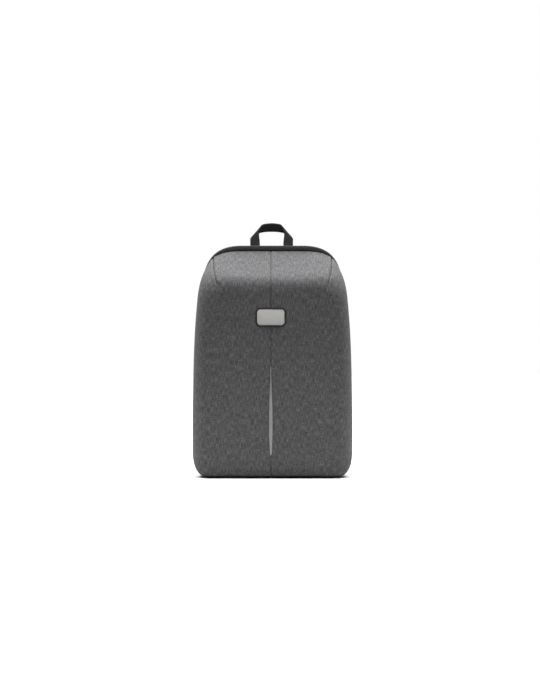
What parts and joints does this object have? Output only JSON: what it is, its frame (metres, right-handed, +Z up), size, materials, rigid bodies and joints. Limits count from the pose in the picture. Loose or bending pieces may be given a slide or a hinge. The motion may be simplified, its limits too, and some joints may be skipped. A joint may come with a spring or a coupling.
{
  "type": "backpack",
  "caption": "Slim soft-shell laptop backpack with a clamshell zip front, reflective slit, blank metal badge, grab handle, padded straps and a USB charging port.",
  "frame": {"origin": "on the floor under the middle of the base panel's flat, in the left-right mirror plane", "axes": "+Z up, the front faces -Y, +X to the right of a person who looks at the front"},
  "size_m": [0.3002, 0.1775, 0.481],
  "materials": {
    "heather_cloth": "matte heather weave",
    "coated_base": "coated matte",
    "lining_cloth": "smooth lining",
    "mesh_pocket": "open mesh",
    "reflective_tape": "glass bead reflective",
    "brushed_plate": "brushed",
    "dark_bezel": "satin",
    "zip_tape": "woven",
    "zip_coil": "nylon coil",
    "charcoal_cloth": "matte weave",
    "black_webbing": "ribbed webbing",
    "charcoal_webbing": "ribbed webbing",
    "air_mesh": "spacer mesh on foam",
    "moulded_black": "moulded satin",
    "soft_rubber": "matte",
    "slider_metal": "black coated"
  },
  "bodies": {
    "rear_shell": {"back_gusset": "charcoal_cloth", "back_panel": "charcoal_cloth", "back_stiffener": "lining_cloth", "rear_zip_tape": "zip_tape", "rear_zip_coil": "zip_coil", "laptop_sleeve": "lining_cloth", "laptop_tab_anchor": "black_webbing", "handle_anchor": "black_webbing", "lumbar_pad": "air_mesh", "trolley_strap": "black_webbing", "usb_port": "moulded_black", "back_pad_right": "air_mesh", "back_pad_left": "air_mesh", "strap_top_anchor_right": "black_webbing", "strap_top_anchor_left": "black_webbing", "strap_low_anchor_right": "black_webbing", "strap_low_anchor_left": "black_webbing"},
    "front_shell": {"base_panel": "coated_base", "front_panel_right": "heather_cloth", "front_panel_left": "heather_cloth", "front_lining": "lining_cloth", "reflective_strip": "reflective_tape", "badge_bezel": "dark_bezel", "badge_plate": "brushed_plate", "front_zip_tape": "zip_tape", "front_zip_coil": "zip_coil", "organiser_pocket": "lining_cloth", "battery_pocket": "mesh_pocket"},
    "grab_handle": {"handle_webbing": "charcoal_webbing", "handle_grip": "black_webbing"},
    "laptop_tab": {"laptop_tab": "black_webbing"},
    "usb_cover": {"usb_cover": "soft_rubber"},
    "upper_slider": {"upper_slider": "slider_metal"},
    "upper_pull": {"upper_pull": "slider_metal"},
    "lower_slider": {"lower_slider": "slider_metal"},
    "lower_pull": {"lower_pull": "slider_metal"},
    "shoulder_strap_right": {"strap_pad_right": "air_mesh", "strap_yoke_right": "black_webbing", "strap_buckle_right": "moulded_black", "strap_webbing_right": "black_webbing"},
    "strap_tail_right": {"strap_tail_right": "black_webbing"},
    "shoulder_strap_left": {"strap_pad_left": "air_mesh", "strap_yoke_left": "black_webbing", "strap_buckle_left": "moulded_black", "strap_webbing_left": "black_webbing"},
    "strap_tail_left": {"strap_tail_left": "black_webbing"}
  },
  "joints": [
    {"name": "front_shell_opening", "type": "hinge", "parent": "rear_shell", "child": "front_shell", "pos_m": [0, 0.02205, 0], "axis": [1, 0, 0], "range_deg": [0, 90]},
    {"name": "grab_handle_fold", "type": "hinge", "parent": "rear_shell", "child": "grab_handle", "pos_m": [0, 0.04, 0.4405], "axis": [1, 0, 0], "range_deg": [-75, 75], "stiffness_Nm_per_rad": 0.08},
    {"name": "laptop_tab_lift", "type": "hinge", "parent": "rear_shell", "child": "laptop_tab", "pos_m": [0, 0.0473, 0.351], "axis": [-1, 0, 0], "range_deg": [0, 85]},
    {"name": "usb_cover_open", "type": "hinge", "parent": "rear_shell", "child": "usb_cover", "pos_m": [-0.1428, 0.038, 0.2955], "axis": [0, -1, 0], "range_deg": [0, 110], "stiffness_Nm_per_rad": 0.003},
    {"name": "upper_slider_travel", "type": "slide", "parent": "rear_shell", "child": "upper_slider", "axis": [0, 0, 1], "range_m": [0, 0.12]},
    {"name": "upper_pull_swing", "type": "hinge", "parent": "upper_slider", "child": "upper_pull", "pos_m": [0.14885, 0.0236, 0.13645], "axis": [0, -1, 0], "range_deg": [0, 140]},
    {"name": "lower_slider_travel", "type": "slide", "parent": "rear_shell", "child": "lower_slider", "axis": [0, 0, 1], "range_m": [-0.05, 0]},
    {"name": "lower_pull_swing", "type": "hinge", "parent": "lower_slider", "child": "lower_pull", "pos_m": [0.14885, 0.0236, 0.11045], "axis": [0, -1, 0], "range_deg": [0, 140]},
    {"name": "shoulder_strap_right_swing", "type": "hinge", "parent": "rear_shell", "child": "shoulder_strap_right", "pos_m": [0.045, 0.066, 0.402], "axis": [-0.186, 0, 0.9826], "range_deg": [-20, 20], "stiffness_Nm_per_rad": 0.4},
    {"name": "strap_tail_right_swing", "type": "hinge", "parent": "shoulder_strap_right", "child": "strap_tail_right", "pos_m": [0.082, 0.09225, 0.1332], "axis": [1, 0, 0], "range_deg": [0, 110]},
    {"name": "shoulder_strap_left_swing", "type": "hinge", "parent": "rear_shell", "child": "shoulder_strap_left", "pos_m": [-0.045, 0.066, 0.402], "axis": [0.186, 0, 0.9826], "range_deg": [-20, 20], "stiffness_Nm_per_rad": 0.4},
    {"name": "strap_tail_left_swing", "type": "hinge", "parent": "shoulder_strap_left", "child": "strap_tail_left", "pos_m": [-0.082, 0.09225, 0.1332], "axis": [1, 0, 0], "range_deg": [0, 110]}
  ]
}
